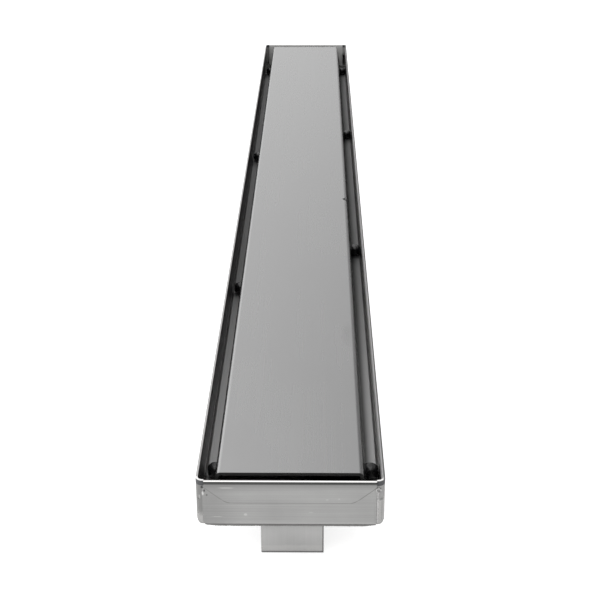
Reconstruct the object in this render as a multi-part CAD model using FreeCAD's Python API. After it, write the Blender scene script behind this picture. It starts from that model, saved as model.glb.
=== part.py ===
import FreeCAD, Part
import math
import os

# Linear shower drain: a folded sheet-steel tray with a loose cover plate standing on rubber buffers.
# Millimetres. X runs across the drain, Y along it with the near end at -Y, Z up from the feet.

# Tray
TRAY_LENGTH = 800.0        # over the folded hems of the two end plates
TRAY_WIDTH = 80.0          # over the two long walls
TRAY_DEPTH = 20.7          # from the rim down to the floor, inside
SHEET = 1.0                # tray sheet
FLOOR_BEND = 1.2           # inside radius between floor and long walls
CORNER_BEND = 2.2          # inside radius of the upright corners
CORNER_RETURN = 3.6        # how far a long wall comes round its corner before the seam

# End plates
HEM_DEPTH = 10.5           # how far the folded flap hangs down from the rim
HEM_SHOULDER = 2.8         # how far down the flap keeps its full width
HEM_FOOT_WIDTH = 54.0      # width of the flap along its lower edge
HEM_CORNER = 3.5           # rounding of the flap's two lower corners
HEM_GAP = 0.1              # air left inside the closed fold

# Cover
COVER_SHEET = 1.5
COVER_SIDE_GAP = 5.35      # from a skirt's lower edge to the long wall, with the cover in the middle
COVER_SHIFT = -0.4         # how far the loose cover lies to one side of the middle
COVER_BEND = 0.5           # inside radius of the folds
COVER_DROP = 0.7           # top of the cover below the rim
COVER_END_GAP = 6.2        # between the cover's cut end and the end plate
SKIRT_FLARE = 2.4          # how far each skirt's lower edge stands outside its fold line
NOTCH_RADIUS = 2.5         # lifting notch in the right-hand fold
NOTCH_FROM_END = 350.0     # from the near end of the tray

# Ribs spot-welded across the inside of the cover
RIB_SHEET = 1.2
RIB_WIDTH = 22.0
RIB_HEIGHT = 7.0
RIB_FROM_MIDDLE = 200.0
RIB_SIDE_GAP = 0.8         # from the rib's end to the fold of the cover

# Rubber buffers that carry the cover, moulded in one piece each and bonded to the floor
BUFFER_DIAMETER = 7.0
BUFFER_HEIGHT = 6.0
LEFT_WALL_GAP = 1.0        # from a buffer on the left to the long wall beside it
RIGHT_WALL_GAP = 0.15      # and on the right
BUFFER_SHOULDER = 0.8      # bevel round its top
BUFFER_FROM_END = 37.5     # first and last buffer of each side, from the tray's ends
LEFT_STEPS = (203.0, 456.0)   # the two between them on the left, from the first one
RIGHT_STEPS = (263.5, 515.0)  # and on the right

# Legs
LEG_SHEET = 1.5
LEG_WIDTH = 27.0
LEG_HEIGHT = 17.8          # from the floor it stands on to the underside of the tray
LEG_BEND = 1.0
LEG_SETBACK = 4.0          # front of the leg behind the face of the hem
LEG_SHIFT = 0.7            # how far the near leg is welded to the right of the middle
LEG_TOP_FLANGE = 18.0
LEG_FOOT_FLANGE = 22.0

# Outlet
DISH_DEPTH = 2.0           # the floor is pressed down round the outlet
DISH_LEDGE = 6.2           # flat bottom of the dish, from the spigot's bore to the slope
DISH_SLOPE = 2.0           # how much wider the dish is at its top
SPIGOT_DIAMETER = 50.0
SPIGOT_WALL = 1.2
SPIGOT_LENGTH = 14.0
SPIGOT_FLANGE = 4.0        # how far the spigot's flange reaches past its tube
SPIGOT_WELD = 1.2          # leg of the fillet weld between tube and flange
SPIGOT_CHAMFER = 0.5       # lead-in for the socket's seal

# Hair strainer, lifted out by its knob, and the rubber ring it sits on
RING_HEIGHT = 1.0
RING_EDGE_GAP = 0.4        # from the ring to the foot of the dish
STRAINER_SHEET = 1.0
STRAINER_DEPTH = 9.0
STRAINER_GAP = 1.6         # between the strainer's cup and the spigot
STRAINER_CREASE = 1.0      # bevel inside the foot of the cup
SLOT_COUNT = 8
SLOT_WIDTH = 3.0
SLOT_START = 6.0           # from the middle of the cup to the inner end of a slot
SLOT_LENGTH = 10.5
KNOB_DIAMETER = 9.0
KNOB_HEIGHT = 11.0
KNOB_NECK = 5.0
KNOB_HEAD_HEIGHT = 3.6
KNOB_CHAMFER = 1.0

# Levels and places worked out from the sizes above
TRAY_UNDERSIDE = LEG_HEIGHT
FLOOR = TRAY_UNDERSIDE + SHEET
RIM = FLOOR + TRAY_DEPTH
HEM_THICKNESS = 2 * SHEET + HEM_GAP
WALL_INNER = TRAY_WIDTH / 2 - SHEET
PLATE_OUTER = TRAY_LENGTH / 2 - SHEET - HEM_GAP
PLATE_INNER = PLATE_OUTER - SHEET
SEAM = TRAY_WIDTH / 2 - CORNER_RETURN
COVER_TOP = RIM - COVER_DROP
COVER_FOOT = FLOOR + BUFFER_HEIGHT
COVER_LENGTH = 2 * (PLATE_INNER - COVER_END_GAP)
COVER_FOLD = WALL_INNER - COVER_SIDE_GAP - SKIRT_FLARE
LEFT_ROW = LEFT_WALL_GAP + BUFFER_DIAMETER / 2 - WALL_INNER
RIGHT_ROW = WALL_INNER - RIGHT_WALL_GAP - BUFFER_DIAMETER / 2
DISH_FLOOR = FLOOR - DISH_DEPTH
SPIGOT_BORE = SPIGOT_DIAMETER / 2 - SPIGOT_WALL
DISH_FOOT = SPIGOT_BORE + DISH_LEDGE
DISH_EDGE = DISH_FOOT + DISH_SLOPE
RING_OUTER = DISH_FOOT - RING_EDGE_GAP
STRAINER_SEAT = DISH_FLOOR + RING_HEIGHT
CUP_RADIUS = SPIGOT_BORE - STRAINER_GAP
CUP_TOP = STRAINER_SEAT + STRAINER_SHEET
CUP_FLOOR = CUP_TOP - STRAINER_DEPTH
PAST = 5.0                 # how far a cutting tool runs past what it cuts
SAME_PLACE = 1e-4          # how near an edge lies to where it is looked for
SAME_WAY = 1e-6            # and how nearly it runs the way that is asked for

X_AXIS = FreeCAD.Vector(1, 0, 0)
Y_AXIS = FreeCAD.Vector(0, 1, 0)
Z_AXIS = FreeCAD.Vector(0, 0, 1)
ORIGIN = FreeCAD.Vector(0, 0, 0)


def block(x, y, z):
    """A block between the pairs of limits x, y and z."""
    return Part.makeBox(x[1] - x[0], y[1] - y[0], z[1] - z[0], FreeCAD.Vector(x[0], y[0], z[0]))


def upright(radius, bottom, top, x=0.0, y=0.0):
    """A round bar standing on end."""
    return Part.makeCylinder(radius, top - bottom, FreeCAD.Vector(x, y, bottom))


def section_along_y(points, length):
    """A closed X-Z section, drawn out evenly to both sides of the middle."""
    corners = [FreeCAD.Vector(x, -length / 2, z) for x, z in points]
    return Part.Face(Part.makePolygon(corners + corners[:1])).extrude(Y_AXIS * length)


def section_along_x(points, width):
    """A closed Y-Z section, drawn out evenly to both sides of the middle."""
    corners = [FreeCAD.Vector(-width / 2, y, z) for y, z in points]
    return Part.Face(Part.makePolygon(corners + corners[:1])).extrude(X_AXIS * width)


def turned(points):
    """A closed R-Z section turned once round the Z axis."""
    corners = [FreeCAD.Vector(r, 0, z) for r, z in points]
    return Part.Face(Part.makePolygon(corners + corners[:1])).revolve(ORIGIN, Z_AXIS, 360)


def long_edges(shape, axis, x=None, y=None, z=None):
    """The straight edges of shape that run along axis through the given place."""
    found = []
    for edge in shape.Edges:
        if edge.Curve.TypeId != "Part::GeomLine":
            continue
        start, end = edge.Vertexes[0].Point, edge.Vertexes[-1].Point
        along = (end - start).normalize()
        if abs(along.dot(axis)) < 1 - SAME_WAY:
            continue
        here = all(want is None or abs(abs(got) - want) < SAME_PLACE
                   for got, want in ((start.x, x), (start.y, y), (start.z, z)))
        if here:
            found.append(edge)
    return found


def rings(shape, radius, z):
    """The circular edges of shape with this radius at this height."""
    return [edge for edge in shape.Edges
            if edge.Curve.TypeId == "Part::GeomCircle"
            and abs(edge.Curve.Radius - radius) < SAME_PLACE
            and abs(edge.Curve.Center.z - z) < SAME_PLACE
            and abs(edge.Curve.Axis.z) > 1 - SAME_WAY]


def trough(half_width, half_length, floor_radius, corner_radius, bottom, top):
    """The space of a tray: rounded along the bottom of its long sides and at its upright corners."""
    bar = block((-half_width, half_width), (-half_length, half_length), (bottom, top))
    bar = bar.makeFillet(floor_radius, long_edges(bar, Y_AXIS, x=half_width, z=bottom))
    plan = block((-half_width, half_width), (-half_length, half_length), (bottom, top))
    plan = plan.makeFillet(corner_radius, long_edges(plan, Z_AXIS, x=half_width, y=half_length))
    return bar.common(plan)


def outlet_dish():
    """The ring of floor that is pressed down round the outlet, as thick as the sheet all the way."""
    upper = [(SPIGOT_BORE, DISH_FLOOR), (DISH_FOOT, DISH_FLOOR), (DISH_EDGE, FLOOR)]
    lower = [(r, z - SHEET) for r, z in reversed(upper)]
    return turned(upper + lower)


def channel_body():
    """Floor and long walls folded from one sheet; the walls come a little way round each corner."""
    outside = trough(TRAY_WIDTH / 2, PLATE_OUTER, FLOOR_BEND + SHEET, CORNER_BEND + SHEET,
                     TRAY_UNDERSIDE, RIM)
    inside = trough(WALL_INNER, PLATE_INNER, FLOOR_BEND, CORNER_BEND, FLOOR, RIM + PAST)
    body = outside.cut(inside)
    for side in (-1, 1):
        ends = sorted((side * PLATE_INNER, side * (PLATE_OUTER + PAST)))
        body = body.cut(block((-SEAM, SEAM), ends, (TRAY_UNDERSIDE - PAST, RIM + PAST)))
    body = body.cut(upright(DISH_EDGE, TRAY_UNDERSIDE - PAST, FLOOR + PAST))
    return body.fuse(outlet_dish()).removeSplitter()


def hem_outline():
    """The flap's outline, a prism across the end: full width at the shoulder, narrower at its lower edge."""
    foot = HEM_FOOT_WIDTH / 2
    points = [(-SEAM, RIM + PAST), (SEAM, RIM + PAST), (SEAM, RIM - HEM_SHOULDER), (foot, RIM - HEM_DEPTH),
              (-foot, RIM - HEM_DEPTH), (-SEAM, RIM - HEM_SHOULDER)]
    prism = section_along_y(points, 2 * PAST)
    return prism.makeFillet(HEM_CORNER, long_edges(prism, Y_AXIS, x=foot, z=RIM - HEM_DEPTH))


def end_plate():
    """The far end plate: a flat panel between the corner returns, its top folded over as a closed hem."""
    outer_roll = HEM_THICKNESS / 2
    roll_top = RIM - outer_roll
    panel = block((-SEAM, SEAM), (PLATE_INNER, PLATE_OUTER), (TRAY_UNDERSIDE, roll_top))
    centre = FreeCAD.Vector(-SEAM, PLATE_INNER + outer_roll, roll_top)
    roll = Part.makeCylinder(outer_roll, 2 * SEAM, centre, X_AXIS)
    roll = roll.cut(Part.makeCylinder(HEM_GAP / 2, 2 * SEAM, centre, X_AXIS))
    roll = roll.common(block((-SEAM, SEAM), (PLATE_INNER - PAST, PLATE_OUTER + PAST), (roll_top, RIM + PAST)))
    flap = block((-SEAM, SEAM), (PLATE_OUTER + HEM_GAP, TRAY_LENGTH / 2), (RIM - HEM_DEPTH, roll_top))
    outline = hem_outline()
    outline.translate(FreeCAD.Vector(0, PLATE_OUTER + HEM_GAP, 0))
    return panel.fuse([roll, flap.common(outline)]).removeSplitter()


def cover_plate():
    """The loose cover: both long edges folded down into slightly flared skirts, the ends cut square."""
    slope = SKIRT_FLARE / (COVER_TOP - COVER_FOOT)
    thick = COVER_SHEET * math.hypot(1, slope)
    foot = COVER_FOLD + SKIRT_FLARE
    inner_fold = COVER_FOLD + slope * COVER_SHEET - thick
    right = [(foot, COVER_FOOT), (foot - thick, COVER_FOOT), (inner_fold, COVER_TOP - COVER_SHEET)]
    left = [(-x, z) for x, z in reversed(right)]
    plate = section_along_y([(-COVER_FOLD, COVER_TOP), (COVER_FOLD, COVER_TOP)] + right + left, COVER_LENGTH)
    plate = plate.makeFillet(COVER_BEND + COVER_SHEET, long_edges(plate, Y_AXIS, x=COVER_FOLD, z=COVER_TOP))
    plate = plate.makeFillet(COVER_BEND, long_edges(plate, Y_AXIS, x=inner_fold, z=COVER_TOP - COVER_SHEET))
    plate = plate.cut(upright(NOTCH_RADIUS, COVER_TOP - 2 * COVER_SHEET, COVER_TOP + PAST, COVER_FOLD,
                              NOTCH_FROM_END - TRAY_LENGTH / 2))
    plate.translate(X_AXIS * COVER_SHIFT)
    return plate


def cover_rib(y):
    """A strip folded to a channel, its web against the underside of the cover."""
    top = COVER_TOP - COVER_SHEET
    half = RIB_WIDTH / 2
    length = 2 * (COVER_FOLD - COVER_SHEET - COVER_BEND - RIB_SIDE_GAP)
    points = [(-half, top), (half, top), (half, top - RIB_HEIGHT), (half - RIB_SHEET, top - RIB_HEIGHT),
              (half - RIB_SHEET, top - RIB_SHEET), (RIB_SHEET - half, top - RIB_SHEET),
              (RIB_SHEET - half, top - RIB_HEIGHT), (-half, top - RIB_HEIGHT)]
    rib = section_along_x(points, length)
    rib = rib.makeFillet(RIB_SHEET, long_edges(rib, X_AXIS, y=half, z=top))
    rib.translate(FreeCAD.Vector(COVER_SHIFT, y, 0))
    return rib


def buffer_row(x, steps):
    """Where the buffers of one side stand, from the near end to the far end."""
    first = BUFFER_FROM_END - TRAY_LENGTH / 2
    return [(x, y) for y in (first, *(first + step for step in steps), -first)]


def buffer(x, y):
    """A round rubber block; its foot is drawn in just enough to stand clear of the bend beside it."""
    radius = BUFFER_DIAMETER / 2
    rubber = upright(radius, FLOOR, FLOOR + BUFFER_HEIGHT)
    rubber = rubber.makeChamfer(FLOOR_BEND - RIGHT_WALL_GAP, rings(rubber, radius, FLOOR))
    rubber = rubber.makeChamfer(BUFFER_SHOULDER, rings(rubber, radius, FLOOR + BUFFER_HEIGHT))
    rubber.translate(FreeCAD.Vector(x, y, 0))
    return rubber


def leg():
    """The near leg: a strip folded twice, its top welded under the tray and its foot turned inwards."""
    front = LEG_SETBACK - TRAY_LENGTH / 2
    top_end, foot_end = front + LEG_TOP_FLANGE, front + LEG_FOOT_FLANGE
    web = front + LEG_SHEET
    points = [(front, 0), (foot_end, 0), (foot_end, LEG_SHEET), (web, LEG_SHEET),
              (web, TRAY_UNDERSIDE - LEG_SHEET), (top_end, TRAY_UNDERSIDE - LEG_SHEET),
              (top_end, TRAY_UNDERSIDE), (front, TRAY_UNDERSIDE)]
    strip = section_along_x(points, LEG_WIDTH)
    strip.translate(X_AXIS * LEG_SHIFT)
    outer = [edge for z in (0, TRAY_UNDERSIDE) for edge in long_edges(strip, X_AXIS, y=-front, z=z)]
    strip = strip.makeFillet(LEG_BEND + LEG_SHEET, outer)
    inside = (LEG_SHEET, TRAY_UNDERSIDE - LEG_SHEET)
    inner = [edge for z in inside for edge in long_edges(strip, X_AXIS, y=-web, z=z)]
    return strip.makeFillet(LEG_BEND, inner)


def outlet_spigot():
    """A short tube welded into a flange ring, which is welded under the dish."""
    top = DISH_FLOOR - SHEET
    under = top - SPIGOT_WALL
    bottom = top - SPIGOT_LENGTH
    tube = SPIGOT_DIAMETER / 2
    flange = tube + SPIGOT_FLANGE
    spigot = turned([(SPIGOT_BORE, top), (flange, top), (flange, under), (tube, under), (tube, bottom),
                     (SPIGOT_BORE, bottom)])
    spigot = spigot.makeChamfer(SPIGOT_WELD, rings(spigot, tube, under))
    return spigot.makeChamfer(SPIGOT_CHAMFER, rings(spigot, tube, bottom))


def strainer_ring():
    """A flat rubber ring lying in the dish."""
    return turned([(SPIGOT_BORE, DISH_FLOOR), (RING_OUTER, DISH_FLOOR),
                   (RING_OUTER, STRAINER_SEAT), (SPIGOT_BORE, STRAINER_SEAT)])


def strainer_cup():
    """A pressed cup with a flat rim that lies on the ring, and slots cut in its bottom."""
    inner = CUP_RADIUS - STRAINER_SHEET
    under = CUP_FLOOR - STRAINER_SHEET
    cup = turned([(0, under), (CUP_RADIUS, under), (CUP_RADIUS, STRAINER_SEAT), (RING_OUTER, STRAINER_SEAT),
                  (RING_OUTER, CUP_TOP), (inner, CUP_TOP), (inner, CUP_FLOOR), (0, CUP_FLOOR)])
    cup = cup.makeChamfer(STRAINER_CREASE + STRAINER_SHEET / 2, rings(cup, CUP_RADIUS, under))
    cup = cup.makeChamfer(STRAINER_CREASE, rings(cup, inner, CUP_FLOOR))
    slots = []
    for i in range(SLOT_COUNT):
        slot = block((SLOT_START, SLOT_START + SLOT_LENGTH), (-SLOT_WIDTH / 2, SLOT_WIDTH / 2),
                     (under - PAST, CUP_FLOOR + PAST))
        slot.rotate(ORIGIN, Z_AXIS, 360 / SLOT_COUNT * i)
        slots.append(slot)
    return cup.cut(slots)


def strainer_knob():
    """A turned knob, its neck welded to the middle of the cup."""
    top = CUP_FLOOR + KNOB_HEIGHT
    head = top - KNOB_HEAD_HEIGHT
    knob = turned([(0, CUP_FLOOR), (KNOB_NECK / 2, CUP_FLOOR), (KNOB_NECK / 2, head - KNOB_CHAMFER),
                   (KNOB_DIAMETER / 2, head), (KNOB_DIAMETER / 2, top), (0, top)])
    return knob.makeChamfer(KNOB_CHAMFER, rings(knob, KNOB_DIAMETER / 2, top))


def turned_round(shape):
    """A copy of shape turned half round, for the piece at the other end."""
    other = shape.copy()
    other.rotate(ORIGIN, Z_AXIS, 180)
    return other


def pieces():
    """Every piece of the drain by name."""
    far_plate, near_leg = end_plate(), leg()
    made = {
        "channel_body": channel_body(),
        "end_plate_near": turned_round(far_plate),
        "end_plate_far": far_plate,
        "cover_plate": cover_plate(),
        "cover_rib_near": cover_rib(-RIB_FROM_MIDDLE),
        "cover_rib_far": cover_rib(RIB_FROM_MIDDLE),
        "leg_near": near_leg,
        "leg_far": turned_round(near_leg),
        "outlet_spigot": outlet_spigot(),
        "strainer_ring": strainer_ring(),
        "strainer_cup": strainer_cup(),
        "strainer_knob": strainer_knob(),
    }
    for side, x_row, steps in (("left", LEFT_ROW, LEFT_STEPS), ("right", RIGHT_ROW, RIGHT_STEPS)):
        for number, (x, y) in enumerate(buffer_row(x_row, steps), 1):
            made[f"buffer_{side}_{number}"] = buffer(x, y)
    return made


os.makedirs("parts", exist_ok=True)
for name, shape in pieces().items():
    shape.exportStep(f"parts/{name}.step")
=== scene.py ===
import math

import bmesh
import bpy
from mathutils import Matrix, Vector, noise


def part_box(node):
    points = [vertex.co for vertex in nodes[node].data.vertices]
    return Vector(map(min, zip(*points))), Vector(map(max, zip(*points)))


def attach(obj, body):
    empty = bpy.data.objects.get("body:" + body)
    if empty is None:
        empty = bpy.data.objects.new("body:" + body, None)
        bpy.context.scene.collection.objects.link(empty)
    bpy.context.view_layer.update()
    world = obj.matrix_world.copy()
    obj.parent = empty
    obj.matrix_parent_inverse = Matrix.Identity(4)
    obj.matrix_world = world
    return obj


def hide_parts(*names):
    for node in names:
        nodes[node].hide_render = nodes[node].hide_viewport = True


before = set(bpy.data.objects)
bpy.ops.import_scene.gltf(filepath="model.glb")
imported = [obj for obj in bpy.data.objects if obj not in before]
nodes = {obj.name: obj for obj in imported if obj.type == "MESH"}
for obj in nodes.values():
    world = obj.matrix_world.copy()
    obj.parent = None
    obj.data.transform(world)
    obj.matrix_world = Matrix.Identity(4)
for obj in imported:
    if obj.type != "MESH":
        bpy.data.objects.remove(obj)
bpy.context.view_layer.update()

# Tray
# One sheet of stainless steel, folded up along both sides and brought a little way round the corners, and
# brushed along its length. Its cut edge is dressed round, with painted shade along its right-hand side, and
# the welds have dulled the head of each corner, with a darker band along its top. Inside, painted shade
# darkens the left wall, painted light makes the top of the right wall pale and matt, painted shade deepens
# along the floor away from the near end, and a painted shadow lies beside the cover on the right.

tray_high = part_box("channel_body")[1]
plate_low, plate_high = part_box("end_plate_near")
rim = tray_high.z
floor_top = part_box("buffer_left_1")[0].z
underside = plate_low.z
sheet = floor_top - underside
seam_x = plate_high.x
end_face = tray_high.y
edge_round = 0.0002
shallow, deep = sheet * 0.3, sheet * 0.7

# Bare steel outside, and a little smoother inside
tray_steel = (0.44, 0.435, 0.43)
tray_roughness = 0.30
inner_roughness = 0.24

# The floor, with painted shade deepening away from the near end, and a painted shadow beside the cover on
# the right
floor_steel = (0.53, 0.53, 0.53)
floor_roughness = 0.50
floor_heights = (floor_top + 0.0008, floor_top + 0.0001)
floor_shade_steel = (0.08, 0.08, 0.08)
floor_shade_run = (-0.36, -0.10)
cover_shadow_steel = (0.02, 0.02, 0.02)
cover_shadow_side = (0.0, 0.01)
cover_shadow_edge = (0.0375, 0.0326)

# Painted shade on the left wall, and painted light over the top of the right wall, which is made pale, matt
# and less metallic
left_wall_shade_steel = (0.05, 0.05, 0.05)
dull_roughness = 0.32
left_wall_shade_side = (0.001, -0.001)
left_wall_shade_heights = (0.0210, 0.0250)
right_wall_light_steel = (0.60, 0.60, 0.60)
matt_roughness = 0.74
right_wall_light_side = (-0.001, 0.001)
right_wall_light_heights = (0.0285, 0.0325)
right_wall_light_unmetal = 0.85

# The cut edge, with painted shade along its right-hand side, the heated head of each corner, and a darker
# band along its top
dressed_steel = (0.54, 0.535, 0.53)
ground_steel = (0.88, 0.87, 0.86)
right_edge_shade_steel = (0.09, 0.09, 0.09)
heated_steel = (0.36, 0.357, 0.35)
heated_roughness = 0.52
# A darker band along the top of the head of each corner
head_dark_colour = (0.045, 0.048, 0.055)
head_dark_depth = 0.0024
tint_reach = 0.0046
tint_waver = 0.002
head_dark_soft = 0.0002


class Shade:
    """A socket of a node tree. Arithmetic on it adds the Math nodes."""

    def __init__(self, owner, socket):
        self.owner = owner
        self.socket = socket

    def math(self, operation, left, right=0.0):
        return self.owner.node("ShaderNodeMath", {"operation": operation}, {0: left, 1: right})

    def __add__(self, other):
        return self.math("ADD", self, other)

    def __radd__(self, other):
        return self.math("ADD", other, self)

    def __sub__(self, other):
        return self.math("SUBTRACT", self, other)

    def __rsub__(self, other):
        return self.math("SUBTRACT", other, self)

    def __mul__(self, other):
        return self.math("MULTIPLY", self, other)

    def __rmul__(self, other):
        return self.math("MULTIPLY", other, self)

    def __pow__(self, other):
        return self.math("POWER", self, other)

    def __abs__(self):
        return self.math("ABSOLUTE", self)

    def larger(self, other):
        return self.math("MAXIMUM", self, other)


class Nodes:
    """A tree of nodes: the finish of a piece, or the surround that lights it."""

    def __init__(self, tree):
        self.tree = tree

    def node(self, kind, settings=None, sockets=None, output=0):
        made = self.tree.nodes.new(kind)
        for key, value in (settings or {}).items():
            setattr(made, key, value)
        for key, value in (sockets or {}).items():
            if isinstance(value, Shade):
                self.tree.links.new(value.socket, made.inputs[key])
            else:
                made.inputs[key].default_value = value
        return Shade(self, made.outputs[output])

    def part(self, vector, name):
        """The X, Y or Z of a vector."""
        return self.node("ShaderNodeSeparateXYZ", None, {0: vector}, output=name)

    def fade(self, value, start, end):
        """Goes smoothly from 0 where value is at start to 1 where it is at end."""
        return self.node("ShaderNodeMapRange", {"interpolation_type": "SMOOTHSTEP"},
                         {"Value": value, "From Min": start, "From Max": end})

    def band(self, value, low, high, soft):
        """1 where value lies between low and high, fading out over soft on both sides."""
        return self.fade(value, low - soft, low) * self.fade(value, high + soft, high)


class Finish(Nodes):
    """The finish of a piece: its surface shader, and the nodes that vary it over the metal or rubber."""

    def __init__(self, name, colour, metallic, roughness):
        self.material = bpy.data.materials.new(name)
        self.material.use_nodes = True
        super().__init__(self.material.node_tree)
        self.surface = self.tree.nodes["Principled BSDF"]
        self.set("Base Color", (*colour, 1.0))
        self.set("Metallic", metallic)
        self.set("Roughness", roughness)
        self.place = self.node("ShaderNodeTexCoord", output="Object")

    def set(self, name, value):
        if isinstance(value, Shade):
            self.tree.links.new(value.socket, self.surface.inputs[name])
        else:
            self.surface.inputs[name].default_value = value

    def axis(self, name):
        """How far along X, Y or Z a point of the piece lies, in metres."""
        return self.part(self.place, name)

    def grain(self, per_metre, detail=2.0, offset=0.0):
        """Noise from 0 to 1 with this many grains per metre: one number, or one each for X, Y and Z."""
        if not isinstance(per_metre, tuple):
            per_metre = (per_metre,) * 3
        stretched = self.node("ShaderNodeVectorMath", {"operation": "MULTIPLY_ADD"},
                              {0: self.place, 1: per_metre, 2: (offset, offset, offset)})
        return self.node("ShaderNodeTexNoise", None, {"Vector": stretched, "Scale": 1.0, "Detail": detail})

    def mix(self, base, other, mask, strength=1.0):
        """Colour base, with colour other laid over it at this strength where the mask is 1."""
        colours = [c if isinstance(c, Shade) else (*c, 1.0) for c in (base, other)]
        return self.node("ShaderNodeMix", {"data_type": "RGBA"},
                         {0: mask * strength, 6: colours[0], 7: colours[1]}, output=2)

    def shaded(self, colour, amount):
        """The colour made darker or lighter by amount, which is about 1."""
        return self.node("ShaderNodeVectorMath", {"operation": "SCALE"}, {0: colour, 3: amount})

    def bump(self, height, depth):
        """Relief of this depth in metres."""
        self.set("Normal", self.node("ShaderNodeBump", None, {"Height": height, "Distance": depth}))

    def dress(self, *names):
        for name in names:
            nodes[name].data.materials.clear()
            nodes[name].data.materials.append(self.material)


# Brush strokes in grains per metre, along the brush and across it, and the cloudy patches over them
fine_along, fine_across = 14.0, 2200.0
coarse_along, coarse_across = 5.0, 520.0
patches = (42.0, 18.0, 42.0)
fine_share = 0.55
coarse_spread, patch_spread = 0.08, 0.10


def brushed(name, colour, roughness, along, depth=0.000006, contrast=0.14, cloud=0.10):
    """Stainless steel brushed along X, Y or Z: its finish, its colour, and how far its roughness strays."""
    steel = Finish(name, colour, metallic=1.0, roughness=roughness)
    fine = steel.grain(tuple(fine_along if axis == along else fine_across for axis in "XYZ"), detail=3.0)
    coarse = steel.grain(tuple(coarse_along if axis == along else coarse_across for axis in "XYZ"),
                         offset=7.0)
    patch = steel.grain(patches, detail=3.0, offset=3.0)
    streaks = fine * fine_share + coarse * (1.0 - fine_share)
    tone = 1.0 + (streaks - 0.5) * contrast + (patch - 0.5) * cloud
    steel.bump(streaks, depth)
    spread = (coarse - 0.5) * coarse_spread + (patch - 0.5) * patch_spread
    return steel, steel.shaded(colour, tone), spread


def soften(name, width, segments=2):
    """Takes the knife edge off a piece of cut or folded sheet."""
    piece = nodes[name]
    weld = piece.modifiers.new("joined", "WELD")
    weld.merge_threshold = 1e-6
    flat = piece.modifiers.new("flat", "DECIMATE")
    flat.decimate_type = "DISSOLVE"
    flat.angle_limit = math.radians(0.4)
    edge = piece.modifiers.new("edge", "BEVEL")
    edge.width = width
    edge.segments = segments
    edge.limit_method = "ANGLE"
    edge.angle_limit = math.radians(35)
    piece.data.shade_smooth()
    even = piece.modifiers.new("even", "WEIGHTED_NORMAL")
    even.weight = 50
    even.keep_sharp = False


# Spatter, nicks and scratches of the near end: across, up, half as wide, half as tall, tone and strength
end_marks = (
    (-0.0372, 0.0362, 0.0006, 0.0007, 0.03, 0.9),
    (-0.0362, 0.0345, 0.0004, 0.0007, 0.05, 0.8),
    (-0.0352, 0.0323, 0.0004, 0.0006, 0.12, 0.7),
    (-0.0369, 0.0331, 0.0005, 0.0011, 0.75, 0.7),
    (-0.0384, 0.0312, 0.0004, 0.0012, 0.65, 0.5),
    (-0.0389, 0.0302, 0.0005, 0.0005, 0.06, 0.6),
    (0.0385, 0.0304, 0.0009, 0.0007, 0.08, 0.5),
    # A long darker strip down the right-hand corner
    (0.0388, 0.0250, 0.0006, 0.0070, 0.24, 0.5),
    (-0.0190, 0.0226, 0.0008, 0.0007, 0.60, 0.5),
    (-0.0311, 0.0215, 0.0026, 0.0002, 0.58, 0.4),
    (0.0156, 0.0308, 0.0007, 0.0003, 0.58, 0.4),
    (0.0206, 0.0312, 0.0005, 0.0003, 0.58, 0.4),
    (0.0088, 0.0237, 0.0011, 0.0002, 0.56, 0.4),
    (-0.0270, 0.0365, 0.0035, 0.0004, 0.58, 0.4),
)
mark_depths = (-end_face + 0.004, -end_face + 0.002)
mark_edge = (1.9, 0.8)
mark_waver = 1.2
mark_warmth = 0.98


def marked(steel, colour):
    """The colour with the marks of the near end on it."""
    across, height = steel.axis("X"), steel.axis("Z")
    near = steel.fade(steel.axis("Y"), *mark_depths)
    waver = steel.grain(1500.0) * mark_waver
    for x, z, wide, tall, tone, strength in end_marks:
        distance = ((across - x) * (1 / wide)) ** 2.0 + ((height - z) * (1 / tall)) ** 2.0
        spot = steel.fade(distance + waver, *mark_edge) * near
        colour = steel.mix(colour, (tone, tone, tone * mark_warmth), spot, strength)
    return colour


steel, colour, spread = brushed("tray_steel", tray_steel, tray_roughness, "Y")
across, along, height = (steel.axis(name) for name in "XYZ")
from_end = end_face - abs(along)
inside = (steel.fade(abs(across), tray_high.x - shallow, tray_high.x - deep)
          * steel.fade(height, floor_top - deep, floor_top - shallow))
on_floor = inside * steel.fade(height, *floor_heights)
# Painted shade on the left wall, and painted light on the top of the right wall
left_wall_shade = steel.fade(across, *left_wall_shade_side) * (inside - on_floor) * steel.fade(height, *left_wall_shade_heights)
right_wall_light = steel.fade(across, *right_wall_light_side) * (inside - on_floor) * steel.fade(height, *right_wall_light_heights)
on_edge = steel.fade(height, rim - edge_round * 0.9, rim - edge_round * 0.5)
# Painted shade along the top of the right-hand cut edge
right_edge_shade = (steel.fade(across, tray_high.x - sheet, tray_high.x - deep)
              * steel.fade(height, rim - edge_round * 3, rim - edge_round * 2))
by_weld = steel.fade(from_end + steel.grain(500.0) * tint_waver, tint_reach, tint_reach * 0.75)
# A darker band along the top of the head of each corner
darker_head = by_weld * steel.band(height, rim - head_dark_depth, rim - edge_round * 0.9, head_dark_soft)
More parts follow.
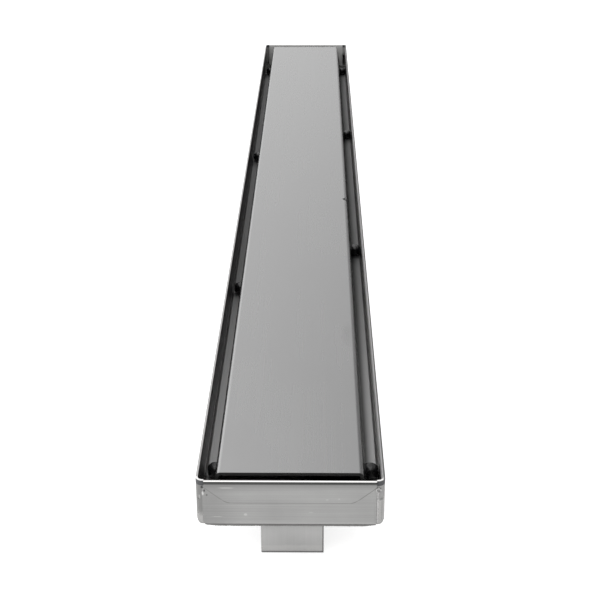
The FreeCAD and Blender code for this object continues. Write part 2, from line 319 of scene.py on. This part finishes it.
# Painted shade on the floor away from the near end, and a painted shadow on the floor beside the cover
floor_shade = on_floor * steel.fade(along, *floor_shade_run)
cover_shadow = on_floor * steel.fade(across, *cover_shadow_side) * steel.fade(across, *cover_shadow_edge)
colour = steel.mix(colour, floor_steel, on_floor, strength=0.8)
colour = steel.mix(colour, floor_shade_steel, floor_shade, strength=0.68)
colour = steel.mix(colour, cover_shadow_steel, cover_shadow, strength=0.97)
colour = steel.mix(colour, left_wall_shade_steel, left_wall_shade)
colour = steel.mix(colour, right_wall_light_steel, right_wall_light)
colour = steel.mix(colour, heated_steel, by_weld, strength=0.7)
colour = steel.mix(colour, head_dark_colour, darker_head, strength=0.85)
colour = steel.mix(colour, dressed_steel, on_edge, strength=0.85)
colour = steel.mix(colour, ground_steel, on_edge * by_weld)
colour = steel.mix(colour, right_edge_shade_steel, right_edge_shade, strength=0.85)
steel.set("Base Color", marked(steel, colour))
steel.set("Roughness", tray_roughness + spread - inside * (tray_roughness - inner_roughness)
          + on_floor * (floor_roughness - inner_roughness)
          + left_wall_shade * (dull_roughness - inner_roughness)
          + right_wall_light * (matt_roughness - inner_roughness)
          + by_weld * (1.0 - inside) * (heated_roughness - tray_roughness))
steel.set("Metallic", 1.0 - left_wall_shade - right_wall_light * right_wall_light_unmetal)
steel.dress("channel_body")
soften("channel_body", edge_round, segments=4)
nodes["channel_body"].modifiers["edge"].use_clamp_overlap = False

# End plates
# Flat panels closing both ends, brushed across, with the top folded out and down as a closed hem. The roll
# of the hem is polished, with a painted highlight along its top and painted shade in the line under it.
# Painted shade lies along the foot of the flap, in a band below the rim and along the bottom edge, painted
# light brightens the lowest strip of the face, the left end is darker, and the inner face is made pale and
# matt as painted light.

plate_steel = (0.357, 0.356, 0.352)
plate_roughness = 0.36
plate_edge_round = 0.0001
outer_skin = (end_face - 0.0004, end_face)

hem_depth = 0.0105
hem_shoulder = 0.0028
hem_foot_x = 0.027
# Painted shade along the foot of the flap
crevice_shade_steel = (0.15, 0.147, 0.14)
crevice = 0.0006
crevice_round = 0.0016
crevice_lap = 0.00005
crevice_soft = 0.0003

roll_radius = (-plate_low.y - end_face + sheet) / 2
roll_y = end_face - sheet + roll_radius
roll_soft = 0.0001
# A painted highlight along the top of the roll, which is also polished smoother, and painted shade in the
# line under it
roll_highlight_steel = (0.80, 0.79, 0.78)
bright_depth = 0.00021
bright_polish = 0.2
under_roll_shade_steel = (0.085, 0.085, 0.083)

# Painted shade in a band below the rim, painted light on the lowest strip of the face, the left end darker,
# and painted shade along the bottom edge
upper_shade_steel = (0.25, 0.249, 0.246)
upper_shade_heights = (rim - 0.0046, rim - 0.0010)
lower_light_steel = (0.42, 0.418, 0.413)
lower_light_heights = (underside + 0.0030, underside + 0.0006)
left_end_steel = (0.22, 0.219, 0.216)
left_end_run = (-0.018, -0.034)
bottom_edge_shade_steel = (0.14, 0.14, 0.135)
bottom_line = 0.0002
# The inner face is made pale, matt and less metallic, as painted light
inner_face_light_steel = (0.80, 0.80, 0.79)
inner_face_extra_roughness = 0.45
inner_face_metal_loss = 0.6

steel, colour, spread = brushed("plate_steel", plate_steel, plate_roughness, "X", contrast=0.55, cloud=0.34)
plate_finish = steel
across, along, height = (steel.axis(name) for name in "XYZ")
outside = steel.fade(abs(along), *outer_skin)
inner_face_light = steel.fade(abs(along), end_face - sheet * 0.8, end_face - sheet * 0.95)
slope = Vector((seam_x - hem_foot_x, hem_depth - hem_shoulder)).normalized()
below = (rim - hem_depth) - height
beyond = (abs(across) - hem_foot_x) * slope.y + below * slope.x
past_flap = ((below + crevice_round).larger(0.0) ** 2.0 + (beyond + crevice_round).larger(0.0) ** 2.0) ** 0.5
fold_line_shade = outside * steel.band(past_flap - crevice_round, -crevice_lap, crevice, crevice_soft)
roll_polish_and_highlight = steel.fade(height, rim - bright_depth * 1.3, rim - bright_depth * 0.9)
under_roll_shade = (steel.fade(abs(along), roll_y, roll_y + roll_radius / 3)
              * steel.band(height, rim - roll_radius * 1.25, rim - bright_depth * 1.2, roll_soft))
bottom_edge_shade = outside * steel.fade(height, underside + bottom_line, underside + bottom_line / 2)
colour = steel.mix(colour, crevice_shade_steel, fold_line_shade, strength=0.6)
colour = steel.mix(colour, upper_shade_steel, outside * steel.fade(height, *upper_shade_heights), strength=0.9)
colour = steel.mix(colour, lower_light_steel, outside * steel.fade(height, *lower_light_heights), strength=0.6)
colour = steel.mix(colour, left_end_steel, outside * steel.fade(across, *left_end_run), strength=0.45)
colour = steel.mix(colour, under_roll_shade_steel, under_roll_shade, strength=0.92)
colour = steel.mix(colour, bottom_edge_shade_steel, bottom_edge_shade, strength=0.6)
colour = steel.mix(colour, roll_highlight_steel, roll_polish_and_highlight, strength=0.9)
colour = steel.mix(colour, inner_face_light_steel, inner_face_light, strength=0.9)
steel.set("Base Color", marked(steel, colour))
steel.set("Roughness", plate_roughness + spread - roll_polish_and_highlight * bright_polish + inner_face_light * inner_face_extra_roughness)
steel.set("Metallic", 1.0 - inner_face_light * inner_face_metal_loss)
steel.dress("end_plate_near", "end_plate_far")
for name in ("end_plate_near", "end_plate_far"):
    soften(name, plate_edge_round)

# End welds
# Each end plate is fused to the tray down both seams, ground flush there, and along the joint underneath.
# One seam of each end was gone over again and left as laid: a narrow bead with a curl at its head.

weld_colour = (0.47, 0.466, 0.46)
weld_roughness = 0.32
weld_relief = 0.00003
scale_colour = (0.12, 0.118, 0.115)
scale_edge = (0.58, 0.75)
scale_strength = 0.6
foot_heights = (underside + 0.0005, underside)
foot_strength = 0.72

seam_foot, seam_head = underside + 0.0006, rim - 0.0035
flush_width = 0.0016
flush_proud = 0.00004
flush_depth = 0.0004
bead_radius = 0.00052
bead_x = seam_x + 0.0005
bead_head = seam_head - 0.0012
bead_unevenness = 0.7
curl_bead = bead_radius * 0.85
curl_radius = 0.0010
curl_arc = math.radians(300)
curl_out = 0.0002
curl_unevenness = bead_radius * 0.3
joint_radius = 0.0008
joint_inset, joint_drop = joint_radius * 0.9, joint_radius * 0.65
joint_unevenness = 0.12
joint_taper = 10.0
ripple = 0.0011
ripple_cuts = 4
ripple_swell = 0.06
pinched_end = 0.35
sharp_angle = math.radians(50)
quarter_turn = Matrix.Rotation(math.pi / 2, 4, "X")

weld_steel, colour, spread = brushed("weld_steel", weld_colour, weld_roughness, "X", contrast=0.3, cloud=0.3)
flakes = weld_steel.fade(weld_steel.grain(700.0, detail=3.0), *scale_edge) * scale_strength
foot = weld_steel.fade(weld_steel.axis("Z"), *foot_heights) * foot_strength
weld_steel.set("Base Color", weld_steel.mix(colour, scale_colour, flakes.larger(foot)))
weld_steel.set("Roughness", weld_roughness + spread)
weld_steel.bump(weld_steel.grain(1400.0, detail=3.0), weld_relief)


def settle(name, mesh, finish):
    """Makes a mesh a piece of the drain, smooth apart from its sharp edges."""
    bmesh.ops.recalc_face_normals(mesh, faces=mesh.faces)
    for face in mesh.faces:
        face.smooth = True
    for edge in mesh.edges:
        edge.smooth = edge.calc_face_angle(0.0) < sharp_angle
    data = bpy.data.meshes.new(name)
    mesh.to_mesh(data)
    mesh.free()
    data.materials.append(finish.material)
    piece = bpy.data.objects.new(name, data)
    bpy.context.scene.collection.objects.link(piece)
    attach(piece, "root")
    return piece


def roughen(mesh, amount):
    """Pushes the skin of a weld in and out, as it froze."""
    mesh.normal_update()
    for vert in mesh.verts:
        vert.co += vert.normal * noise.noise(vert.co / ripple) * amount


def weld_run(name, start, end, radius, unevenness, taper=2.0):
    """A run of weld from start to end: a bar with a ripple for each pool of metal and pinched ends."""
    start, end = Vector(start), Vector(end)
    length = (end - start).length
    bead = bmesh.new()
    bmesh.ops.create_cone(bead, cap_ends=True, segments=12, radius1=radius, radius2=radius, depth=length)
    sides = [edge for edge in bead.edges if abs(edge.verts[0].co.z - edge.verts[1].co.z) > length / 2]
    bmesh.ops.subdivide_edges(bead, edges=sides, cuts=round(length / ripple * ripple_cuts))
    for vert in bead.verts:
        to_end = length / 2 - abs(vert.co.z)
        swell = min(1.0, pinched_end + to_end / (radius * taper))
        swell *= 1 + ripple_swell * math.cos(vert.co.z / ripple * math.tau)
        vert.co.x *= swell
        vert.co.y *= swell
    turn = (end - start).to_track_quat("Z", "Y").to_matrix().to_4x4()
    bmesh.ops.transform(bead, matrix=Matrix.Translation((start + end) / 2) @ turn, verts=bead.verts)
    roughen(bead, radius * unevenness)
    settle(name, bead, weld_steel)


def flush_weld(name, x, y):
    """A seam ground flush: a thin strip with its middle at x, y, which leaves it a hair proud of the end."""
    strip = bmesh.new()
    bmesh.ops.create_cube(strip, size=1.0)
    middle = Matrix.Translation((x, y, (seam_foot + seam_head) / 2))
    size = Matrix.Diagonal((flush_width, flush_depth, seam_head - seam_foot, 1.0))
    bmesh.ops.transform(strip, verts=strip.verts, matrix=middle @ size)
    bmesh.ops.bevel(strip, geom=strip.edges[:], offset=flush_proud * 2, segments=3, profile=0.5,
                    affect="EDGES", material=-1)
    settle(name, strip, plate_finish)


def weld_curl(name, x, y):
    """The curl at the head of a bead: most of a ring, upright, with its middle at x, y."""
    curl = bmesh.new()
    bmesh.ops.create_circle(curl, segments=10, radius=curl_bead,
                            matrix=Matrix.Translation((curl_radius, 0, 0)) @ quarter_turn)
    bmesh.ops.spin(curl, geom=curl.edges[:], cent=(0, 0, 0), axis=(0, 0, 1), angle=curl_arc, steps=24)
    bmesh.ops.holes_fill(curl, edges=[edge for edge in curl.edges if edge.is_boundary], sides=10)
    place = Matrix.Translation((x, y, seam_head - curl_radius))
    bmesh.ops.transform(curl, verts=curl.verts, matrix=place @ quarter_turn)
    roughen(curl, curl_unevenness)
    settle(name, curl, weld_steel)


for end_name, side in (("near", 1), ("far", -1)):
    y = -side * end_face
    for seam_name, x in (("left", -seam_x), ("right", seam_x)):
        flush_weld(f"flush_weld_{end_name}_{seam_name}", x, y - side * (flush_proud - flush_depth / 2))
    weld_run(f"seam_weld_{end_name}", (side * bead_x, y, seam_foot), (side * bead_x, y, bead_head),
             bead_radius, bead_unevenness)
    weld_curl(f"seam_curl_{end_name}", side * (bead_x + curl_out), y - side * curl_out)
    joint = Vector((seam_x, -side * (end_face - joint_inset), underside - joint_drop))
    weld_run(f"joint_weld_{end_name}", joint, joint * Vector((-1, 1, 1)), joint_radius, joint_unevenness,
             joint_taper)

# Legs
# Strips bent to a channel, plain as they came from the mill. Two short fillets of weld hold the top of each
# one under the tray. A lighter, uneven band runs a little above the foot, painted shade lies along the sole
# and the right-hand edge, and a painted shadow darkens the top under the tray.

leg_steel = (0.455, 0.453, 0.449)
leg_roughness = 0.36
leg_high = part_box("leg_near")[1]
leg_edge_round = 0.00025
fillet_length = 0.010
fillet_radius = 0.0009
fillet_unevenness = 0.4

# A lighter, uneven band a little above the foot
foot_band_steel = (0.62, 0.615, 0.60)
foot_band_low, foot_band_high = 0.0025, 0.0050
foot_band_soft = 0.0008
foot_band_waver = 0.001
# Painted shade along the sole
sole_shade_steel = (0.10, 0.10, 0.10)
sole_shade_heights = (0.0022, 0.0015)
# Painted shade along the right-hand edge
leg_edge_shade_steel = (0.14, 0.14, 0.14)
leg_edge_shade_run = (leg_high.x - 0.0008, leg_high.x - 0.0004)
# A painted shadow at the top, under the tray
top_shadow_steel = (0.30, 0.30, 0.297)
top_shadow_heights = (leg_high.z - 0.007, leg_high.z)

steel, colour, spread = brushed("leg_steel", leg_steel, leg_roughness, "Z", contrast=0.20, cloud=0.36)
height = steel.axis("Z")
foot_band = steel.band(height + steel.grain(300.0) * foot_band_waver, foot_band_low, foot_band_high, foot_band_soft)
colour = steel.mix(colour, foot_band_steel, foot_band, strength=0.30)
colour = steel.mix(colour, sole_shade_steel, steel.fade(height, *sole_shade_heights), strength=0.85)
colour = steel.mix(colour, leg_edge_shade_steel, steel.fade(steel.axis("X"), *leg_edge_shade_run), strength=0.8)
colour = steel.mix(colour, top_shadow_steel, steel.fade(height, *top_shadow_heights), strength=0.5)
steel.set("Base Color", colour)
steel.set("Roughness", leg_roughness + spread)
steel.dress("leg_near", "leg_far")
for name in ("leg_near", "leg_far"):
    soften(name, leg_edge_round)
    low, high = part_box(name)
    middle = (low.y + high.y) / 2
    reach = Vector((0, fillet_length / 2, 0))
    for hand, x in (("left", low.x), ("right", high.x)):
        place = Vector((x, middle, underside - fillet_radius / 3))
        weld_run(f"{name}_weld_{hand}", place - reach, place + reach, fillet_radius, fillet_unevenness)

# Outlet spigot
# A short tube welded into its flange and turned all over. The flange is welded all round under the dish of
# the tray.

spigot_steel = (0.46, 0.46, 0.455)
spigot_roughness = 0.32
spigot_edge_round = 0.0001
spigot_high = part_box("outlet_spigot")[1]
ring_radius = 0.0007
ring_unevenness = ring_radius * 0.4

steel, colour, spread = brushed("outlet_steel", spigot_steel, spigot_roughness, "Z", contrast=0.12)
steel.set("Base Color", colour)
steel.set("Roughness", spigot_roughness + spread)
steel.dress("outlet_spigot")
soften("outlet_spigot", spigot_edge_round)

ring = bmesh.new()
place = Matrix.Translation((spigot_high.x + ring_radius / 3, 0, spigot_high.z - ring_radius / 2))
bmesh.ops.create_circle(ring, segments=10, radius=ring_radius, matrix=place @ quarter_turn)
steps = round(spigot_high.x * math.tau / ripple * ripple_cuts)
bmesh.ops.spin(ring, geom=ring.edges[:], cent=(0, 0, 0), axis=(0, 0, 1), angle=math.tau, steps=steps,
               use_merge=True)
roughen(ring, ring_unevenness)
settle("outlet_weld", ring, weld_steel)

# Rubber
# The cover stands on eight round buffers moulded in black rubber and bonded to the floor, with a glossy skin
# and rounded tops. The strainer lies on a ring cut from the same rubber.

rubber_black = (0.012, 0.012, 0.013)
rubber_roughness = 0.16
rubber_relief = 0.00002
skin_spread, dust_spread = 0.10, 0.08
dust_grey = (0.05, 0.05, 0.05)
dust_edge = (0.55, 0.8)
buffer_top_round = 0.0020
buffer_foot_round = 0.00105
buffer_names = [f"buffer_{side}_{n}" for side in ("left", "right") for n in range(1, 5)]

rubber = Finish("buffer_rubber", rubber_black, metallic=0.0, roughness=rubber_roughness)
skin = rubber.grain(1500.0)
dust = rubber.grain(420.0, detail=3.0, offset=5.0)
rubber.set("Base Color", rubber.mix(rubber_black, dust_grey, rubber.fade(dust, *dust_edge), strength=0.6))
rubber.set("Roughness", rubber_roughness + skin * skin_spread + dust * dust_spread)
rubber.bump(skin, rubber_relief)
rubber.dress("strainer_ring")

for name in buffer_names:
    low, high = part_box(name)
    radius = (high.x - low.x) / 2
    block = bmesh.new()
    bmesh.ops.create_cone(block, cap_ends=True, segments=40, radius1=radius, radius2=radius,
                          depth=high.z - low.z, matrix=Matrix.Translation((low + high) / 2))
    for level, rounding in ((high.z, buffer_top_round), (low.z, buffer_foot_round)):
        around = [edge for edge in block.edges if all(abs(vert.co.z - level) < 1e-6 for vert in edge.verts)]
        bmesh.ops.bevel(block, geom=around, offset=rounding, segments=6, profile=0.5,
                        affect="EDGES", material=-1)
    piece = settle(name.replace("buffer", "rubber_buffer"), block, rubber)
    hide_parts(name)

# Strainer
# A slotted cup pressed from stainless sheet, with a turned knob welded in its middle to lift it by. It lies
# loose on the rubber ring, and is polished brighter than the tray.

strainer_steel = (0.5, 0.5, 0.495)
strainer_roughness = 0.24

steel, colour, spread = brushed("strainer_steel", strainer_steel, strainer_roughness, "X", contrast=0.08)
steel.set("Base Color", colour)
steel.set("Roughness", strainer_roughness + spread)
steel.dress("strainer_cup", "strainer_knob")

# Cover
# One plate folded down along both sides, satin finished along its length and cut square at the ends. The
# skirts and the near cut end are darkened with painted shade, and the cut end is dull. Fine wear shows along
# the folds, and there is a faint smudge by the right-hand fold.

cover_low, cover_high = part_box("cover_plate")
cover_middle = (cover_low.x + cover_high.x) / 2
cover_steel = (0.43, 0.43, 0.43)
cover_roughness = 0.27
cover_spread = 0.4
cover_edge_round = 0.00012
cover_fold = 0.03125
cover_bend = 0.0018

worn_steel = (0.62, 0.62, 0.62)
worn_run = (cover_fold - 0.0022, cover_fold - 0.0004)
# Painted shade on the skirts and on the near cut end
cover_shade_steel = (0.05, 0.05, 0.05)
cut_depths = (-cover_high.y + 0.0002, -cover_high.y + 0.0001)
cut_extra = 0.3
smudged_steel = (0.30, 0.30, 0.30)
smudge_x, smudge_y = 0.0272, -0.258
smudge_width, smudge_length = 0.0035, 0.016
smudge_edge = (1.5, 0.3)
smudge_waver = 0.8

steel, colour, spread = brushed("cover_steel", cover_steel, cover_roughness, "Y", depth=0.0000005,
                                contrast=0.025, cloud=0.04)
across, along, height = (steel.axis(name) for name in "XYZ")
worn = steel.fade(abs(across - cover_middle), *worn_run)
distance = (((across - smudge_x) * (1 / smudge_width)) ** 2.0
            + ((along - smudge_y) * (1 / smudge_length)) ** 2.0)
smudge = steel.fade(distance + steel.grain((240.0, 90.0, 240.0)) * smudge_waver, *smudge_edge)
skirt_shade = steel.fade(height, cover_high.z - cover_bend, cover_high.z - cover_bend * 1.5)
dull_shaded_cut_end = steel.fade(along, *cut_depths)
colour = steel.mix(colour, smudged_steel, smudge, strength=0.25)
colour = steel.mix(colour, worn_steel, worn, strength=0.08)
colour = steel.mix(colour, cover_shade_steel, skirt_shade, strength=0.95)
colour = steel.mix(colour, cover_shade_steel, dull_shaded_cut_end, strength=0.9)
steel.set("Base Color", colour)
steel.set("Roughness", cover_roughness + spread * cover_spread + dull_shaded_cut_end * cut_extra)
steel.dress("cover_plate", "cover_rib_near", "cover_rib_far")
soften("cover_plate", cover_edge_round)

# Floor and light
# A plain white floor, and a studio that is brightest overhead and at the far end. The left side and the
# space behind the viewer are lit less, and the right side least.

paper_grey = (0.82, 0.82, 0.82)
paper_roughness = 0.9
paper_reach = 20.0
paper_seen, paper_mirrored = 0.75, 0.28
black, white = (0.0, 0.0, 0.0), (1.0, 1.0, 1.0)

ground = bpy.data.meshes.new("floor")
plane = bmesh.new()
bmesh.ops.create_grid(plane, x_segments=1, y_segments=1, size=paper_reach)
plane.to_mesh(ground)
plane.free()
floor = bpy.data.objects.new("floor", ground)
bpy.context.scene.collection.objects.link(floor)
paper = Finish("paper", paper_grey, metallic=0.0, roughness=paper_roughness)
paper.set("Specular IOR Level", 0.0)
seen = paper.node("ShaderNodeLightPath", output="Is Camera Ray")
mirrored = paper.node("ShaderNodeLightPath", output="Is Glossy Ray")
paper.set("Emission Color", paper.mix(black, white, paper_seen * seen + paper_mirrored * mirrored))
paper.set("Emission Strength", 1.0)
floor.data.materials.append(paper.material)

fill_light = 0.10
far_light, far_edge = 0.87, (-0.1, 0.45)
corner_shade, corner_edge, corner_lean = 0.85, (0.0, 0.62), 0.5
left_light, left_edge = 0.4, (0.15, 0.75)
near_light, near_edge = 0.35, (0.0, -0.5)
ceiling_light, ceiling_edge = 1.4, (0.53, 0.94)

world = bpy.data.worlds.new("surround")
world.use_nodes = True
bpy.context.scene.world = world
studio = Nodes(world.node_tree)
way = studio.node("ShaderNodeTexCoord", output="Generated")
across, along, up = (studio.part(way, name) for name in "XYZ")
far_corner = studio.fade(up * corner_lean + across, *corner_edge)
far_side = studio.fade(along, *far_edge) * (1.0 - corner_shade * far_corner)
left_side = studio.fade(0.0 - across, *left_edge)
near_side = studio.fade(along, *near_edge)
ceiling = studio.fade(up, *ceiling_edge)
light = (fill_light + far_light * far_side + left_light * left_side + near_light * near_side
         + ceiling_light * ceiling)
direct = studio.node("ShaderNodeLightPath", output="Is Camera Ray")
background = world.node_tree.nodes["Background"]
background.inputs["Color"].default_value = (*white, 1.0)
world.node_tree.links.new((light + direct * (1.0 - light)).socket, background.inputs["Strength"])

# Camera
# It looks along the drain from its near end, 33 cm up, as the photograph does. Its lens is given in pixels
# of the photograph.

picture_width = 600.0
lens_pixels = 1262.0
camera_place = Vector((0.0108, -0.8487, 0.3267))
down, turn, lean = math.radians(24.404), math.radians(0.810), math.radians(-0.222)
camera = bpy.data.objects.new("camera", bpy.data.cameras.new("camera"))
bpy.context.scene.collection.objects.link(camera)
bpy.context.scene.camera = camera
camera.data.sensor_width = 36.0
camera.data.lens = lens_pixels * camera.data.sensor_width / picture_width
camera.matrix_world = (Matrix.Translation(camera_place) @ Matrix.Rotation(turn, 4, "Z")
                       @ Matrix.Rotation(math.radians(90) - down, 4, "X") @ Matrix.Rotation(lean, 4, "Z"))
bpy.context.scene.view_settings.view_transform = "Standard"
